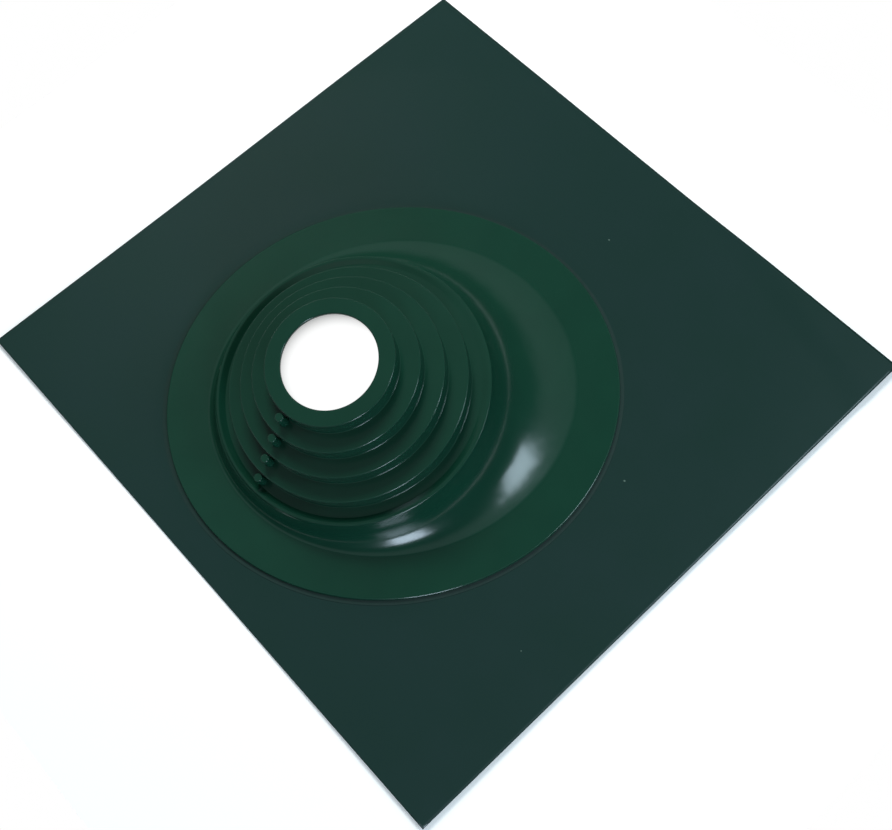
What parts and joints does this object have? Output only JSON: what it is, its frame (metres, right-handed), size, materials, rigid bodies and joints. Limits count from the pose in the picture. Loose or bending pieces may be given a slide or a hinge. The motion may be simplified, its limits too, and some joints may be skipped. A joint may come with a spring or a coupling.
{
  "type": "pipe flashing boot",
  "caption": "Stepped conical rubber boot with a leaning open collar, bonded to a flat square sheet, that seals a pipe where it passes through a pitched roof.",
  "frame": {"origin": "centre of the sheet's underside", "axes": "+Z out of the roof, -Y uphill: the collar leans uphill, turned 20 degrees towards -X on the sheet"},
  "size_m": [0.5, 0.5, 0.1086],
  "materials": {
    "sheet": "satin",
    "film": "satin",
    "rubber": "gloss"
  },
  "bodies": {
    "root": {"base_sheet": "sheet", "adhesive_film": "film", "boot": "rubber"}
  },
  "joints": []
}
